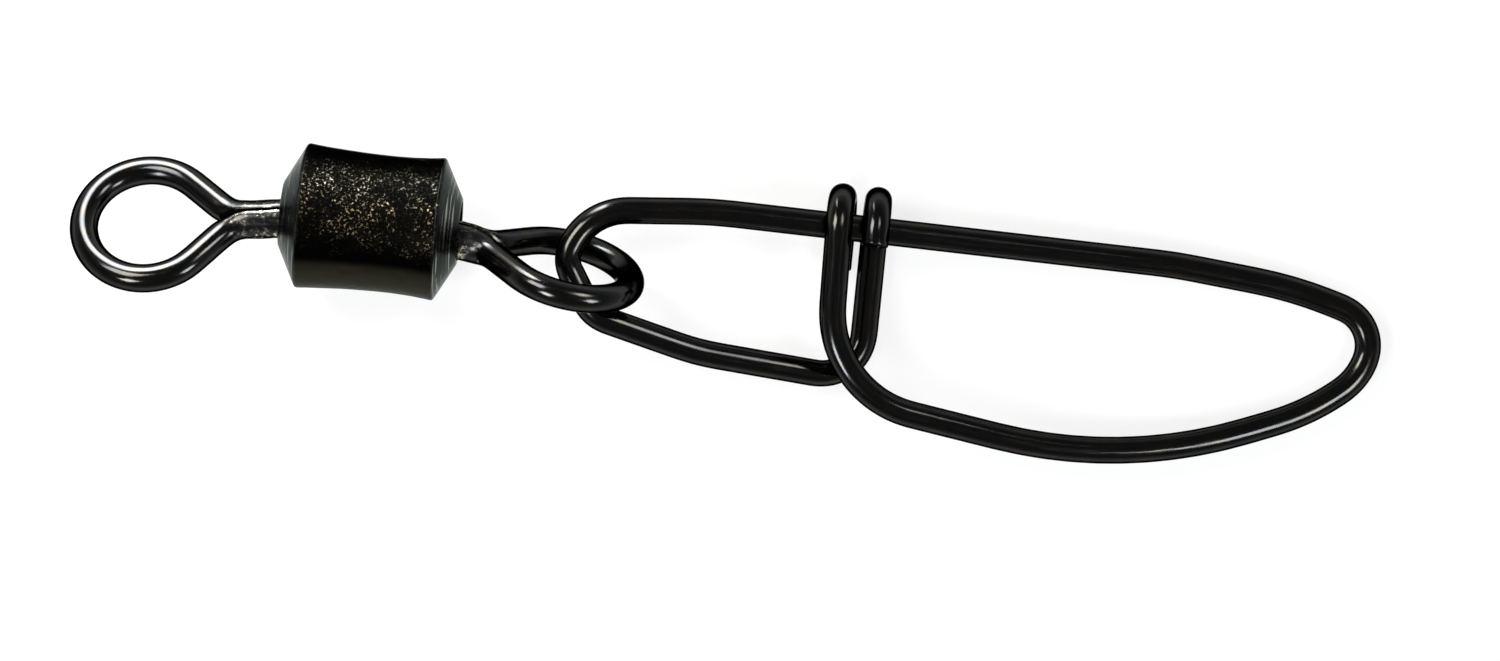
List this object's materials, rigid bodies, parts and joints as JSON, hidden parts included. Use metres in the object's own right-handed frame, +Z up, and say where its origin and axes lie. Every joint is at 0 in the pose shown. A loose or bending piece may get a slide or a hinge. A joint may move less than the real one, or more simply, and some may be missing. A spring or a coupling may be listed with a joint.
{
  "type": "fishing snap swivel",
  "caption": "Rolling barrel swivel with a wire eye at each end and a cross-lock snap of bent spring wire linked through one eye.",
  "frame": {"origin": "middle of the footprint, on the surface that the part lies on", "axes": "+X along the barrel's axis from the line eye towards the snap, +Z up from the surface, +Y towards the snap's spine"},
  "size_m": [0.0556, 0.0108, 0.0061],
  "materials": {
    "barrel": "dark plated brass, rough from tumbling, with worn warm specks",
    "eye_wire": "bright black nickel plating",
    "snap_wire": "bright black nickel plating on spring wire"
  },
  "bodies": {
    "barrel": {"swivel_barrel": "barrel"},
    "line_eye": {"line_eye": "eye_wire"},
    "snap_eye": {"snap_eye": "eye_wire"},
    "snap": {"snap": "snap_wire"}
  },
  "joints": [
    {"name": "line_eye_spin", "type": "hinge", "parent": "barrel", "child": "line_eye", "pos_m": [-0.01749, 0.00166, 0.00305], "axis": [-0.9895, -0.1444, 0], "continuous": true},
    {"name": "snap_eye_spin", "type": "hinge", "parent": "barrel", "child": "snap_eye", "pos_m": [-0.01381, 0.00166, 0.00305], "axis": [0.9874, -0.158, 0], "continuous": true},
    {"name": "snap_swing", "type": "hinge", "parent": "snap_eye", "child": "snap", "pos_m": [-0.00414, 0.00011, 0.00305], "axis": [0.0602, 0, 0.9982], "range_deg": [-115, 95]}
  ]
}
